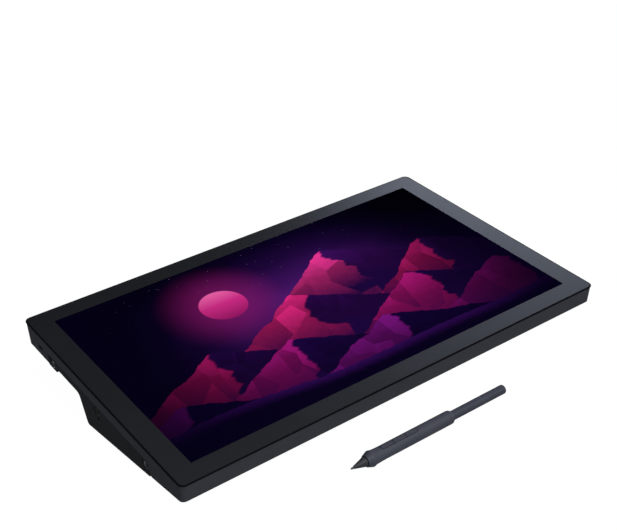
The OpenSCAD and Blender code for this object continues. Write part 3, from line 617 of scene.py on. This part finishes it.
def make_contacts():
    """Plated contact strips on the tongues of the sockets."""
    sh = Shell()
    for cx in (-60.0, -42.0):
        for i in range(8):
            x = cx - 1.75 + i * 0.5
            sh.block(x - 0.14, x + 0.14, 2.2, 6.1, 14.62, 14.69, 0.02)
            sh.block(x - 0.14, x + 0.14, 2.2, 6.1, 14.01, 14.08, 0.02)
    for i in range(10):
        x = -85.0 - 4.5 + i
        sh.block(x - 0.22, x + 0.22, 0.6, 6.2, 15.02, 15.14, 0.03)
        sh.block(x - 0.22, x + 0.22, 0.6, 6.2, 16.26, 16.38, 0.03)
    for i in range(6):
        x = -107.0 - 1.75 + i * 0.7
        sh.block(x - 0.2, x + 0.2, 0.6, 6.2, 14.72, 14.84, 0.03)
        sh.block(x - 0.2, x + 0.2, 0.6, 6.2, 15.86, 15.98, 0.03)
    for x in (-133.5, -131.0, -129.0, -126.5):
        sh.block(x - 0.55, x + 0.55, -1.0, 6.9, 16.05, 16.26, 0.06)
    settle(piece("port_contacts", sh.mesh("port_contacts"), DESK, "tablet", "insert_brass", mats=[M["contact_gold"]]))


make_feet()
make_sockets()
for side, sign in (("left", -1), ("right", 1)):
    for i, cy in enumerate((42.5, 54.5, 66.5, 78.5)):
        make_key("key_%s_%d" % (side, i + 1), sign, cy, i == 1)
make_slide()
make_contacts()

# ------------------------------------------------------------------ pen
for n in ("pen_barrel", "pen_grip", "pen_nose"):
    eased(n, 0.00012, 2, 25)
eased("pen_nib", 0.00004, 2, 40)
for i in (1, 2, 3):
    eased("pen_button_%d" % i, 0.00018, 3, 25)

# ------------------------------------------------------------------ stage, light, camera
me = bpy.data.meshes.new("floor")
me.from_pydata([(-7, -7, 0), (7, -7, 0), (7, 7, 0), (-7, 7, 0)], [], [(0, 1, 2, 3)])
floor = bpy.data.objects.new("floor", me)
scene.collection.objects.link(floor)
s = Surface("pale_floor", Specular_IOR_Level=0.0)
s.set("Base Color", s.tint((0.03, 0.03, 0.03), s.line(s.noise(3, 3), 0.3, 0.7, 0.985, 1.0)))
s.set("Roughness", s.line(s.noise(220, 2), 0.3, 0.7, 0.82, 0.9))
s.set("Emission Color", (1.0, 1.0, 1.0))
s.set("Emission Strength", 0.985)
me.materials.append(s.mat)
floor.visible_glossy = False

# pale wall far behind, seen directly only
ring = [(6.8 * math.cos(rad(5 * i)), 6.8 * math.sin(rad(5 * i))) for i in range(72)]
me = bpy.data.meshes.new("wall")
me.from_pydata([(x, y, z) for z in (-0.02, 6.0) for x, y in ring], [], [((i + 1) % 72, i, i + 72, (i + 1) % 72 + 72) for i in range(72)])
wall = bpy.data.objects.new("wall", me)
scene.collection.objects.link(wall)
s = Surface("pale_wall", Specular_IOR_Level=0.0)
s.set("Base Color", s.tint((0.05, 0.05, 0.05), s.line(s.noise(3, 3), 0.3, 0.7, 0.985, 1.0)))
s.set("Roughness", s.line(s.noise(220, 2), 0.3, 0.7, 0.82, 0.9))
s.set("Emission Color", (1.0, 1.0, 1.0))
s.set("Emission Strength", 0.93)
me.materials.append(s.mat)
wall.visible_diffuse = wall.visible_glossy = wall.visible_transmission = wall.visible_shadow = False

world = bpy.data.worlds.new("studio")
scene.world = world
world.use_nodes = True
world.node_tree.nodes["Background"].inputs["Color"].default_value = (0.9, 0.95, 1.0, 1)
world.node_tree.nodes["Background"].inputs["Strength"].default_value = 0.06


def softbox(name, at, to, size, power, colour=(1, 1, 1), deep=None, roll=0.0):
    light = bpy.data.lights.new(name, "AREA")
    light.shape = "RECTANGLE"
    light.size, light.size_y = size, deep or size
    light.energy = power
    light.color = colour
    ob = bpy.data.objects.new(name, light)
    scene.collection.objects.link(ob)
    ob.location = at
    turn = (Vector(to) - Vector(at)).to_track_quat("-Z", "Y").to_matrix() @ Matrix.Rotation(rad(roll), 3, "Z")
    ob.rotation_euler = turn.to_euler()
    return ob


softbox("key", (0.12, -2.1, 2.2), (0, -0.1, 0), 2.0, 124)
softbox("rim", (2.14, 1.40, 1.49), (0.1, -0.03, 0.05), 1.15, 9.1, (0.735, 0.815, 1.02), 0.62, 10)
softbox("top", (0.45, 0.55, 2.5), (0, 0, 0), 1.3, 2.6, (0.85, 0.9, 1.0))
# low boxes behind and to the right, under the plane of the glass
softbox("behind", (0.0, 2.6, 0.22), (0, 0.05, 0.03), 1.8, 26, (0.95, 0.97, 1.0), 0.36)
softbox("beside", (2.7, 0.0, 0.22), (0.2, 0, 0.03), 1.4, 18, (0.95, 0.97, 1.0), 0.36)

cam_data = bpy.data.cameras.new("camera")
cam_data.sensor_fit = "HORIZONTAL"
cam_data.sensor_width = 36.0
cam_data.lens = 67.87
cam_data.clip_start, cam_data.clip_end = 0.01, 60
camera = bpy.data.objects.new("camera", cam_data)
scene.collection.objects.link(camera)
right, down, ahead = (0.80117864, -0.5873621, -0.11453625), (-0.32492229, -0.26624141, -0.90749161), (0.50253189, 0.76427827, -0.40415397)
camera.matrix_world = Matrix([[right[i], -down[i], -ahead[i], (-0.4934, -0.776354, 0.474873)[i]] for i in range(3)] + [[0, 0, 0, 1]])
scene.camera = camera
scene.view_settings.view_transform = "Standard"
scene.view_settings.look = "None"
